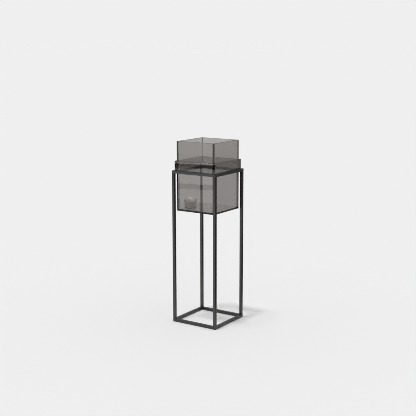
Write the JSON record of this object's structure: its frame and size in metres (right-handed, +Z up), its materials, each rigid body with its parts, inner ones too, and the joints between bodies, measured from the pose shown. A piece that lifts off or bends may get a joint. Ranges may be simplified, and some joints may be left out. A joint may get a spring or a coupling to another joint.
{
  "type": "candle lantern",
  "caption": "Floor-standing candle lantern: a tall open-topped smoked glass box hangs by its collar in the top ring of a slim black square-tube frame.",
  "frame": {"origin": "on the floor, under the middle of the frame", "axes": "+Z up, -Y the front, +X to the right when looking at the front; the frame is square, so front is the side nearest the candle"},
  "size_m": [0.28, 0.28, 1],
  "materials": {
    "frame_steel": "fine satin black powder coat",
    "smoked_glass": "warm grey smoked glass with polished edges",
    "tumbler_glass": "lightly smoked satin glass, fire-polished rim",
    "candle_wax": "off-white wax, softly glossy",
    "wick_cotton": "charred braided cotton",
    "soft_pad": "matt black rubber"
  },
  "bodies": {
    "frame": {"base_front_rail": "frame_steel", "base_right_rail": "frame_steel", "base_rear_rail": "frame_steel", "base_left_rail": "frame_steel", "top_front_rail": "frame_steel", "top_right_rail": "frame_steel", "top_rear_rail": "frame_steel", "top_left_rail": "frame_steel", "front_left_leg": "frame_steel", "front_right_leg": "frame_steel", "rear_right_leg": "frame_steel", "rear_left_leg": "frame_steel", "front_left_foot_pad": "soft_pad", "front_right_foot_pad": "soft_pad", "rear_right_foot_pad": "soft_pad", "rear_left_foot_pad": "soft_pad"},
    "glass_box": {"glass_floor": "smoked_glass", "left_glass_wall": "smoked_glass", "right_glass_wall": "smoked_glass", "front_glass_wall": "smoked_glass", "rear_glass_wall": "smoked_glass", "left_collar_strip": "smoked_glass", "right_collar_strip": "smoked_glass", "front_collar_strip": "smoked_glass", "rear_collar_strip": "smoked_glass", "front_rest_pad": "soft_pad", "right_rest_pad": "soft_pad", "rear_rest_pad": "soft_pad", "left_rest_pad": "soft_pad"},
    "candle": {"tumbler": "tumbler_glass", "wax": "candle_wax", "left_wick": "wick_cotton", "right_wick": "wick_cotton"}
  },
  "joints": [
    {"name": "glass_box_lift", "type": "slide", "parent": "frame", "child": "glass_box", "axis": [0, 0, 1], "range_m": [0, 0.26]},
    {"name": "candle_lift", "type": "slide", "parent": "glass_box", "child": "candle", "axis": [0, 0, 1], "range_m": [0, 0.41]}
  ]
}
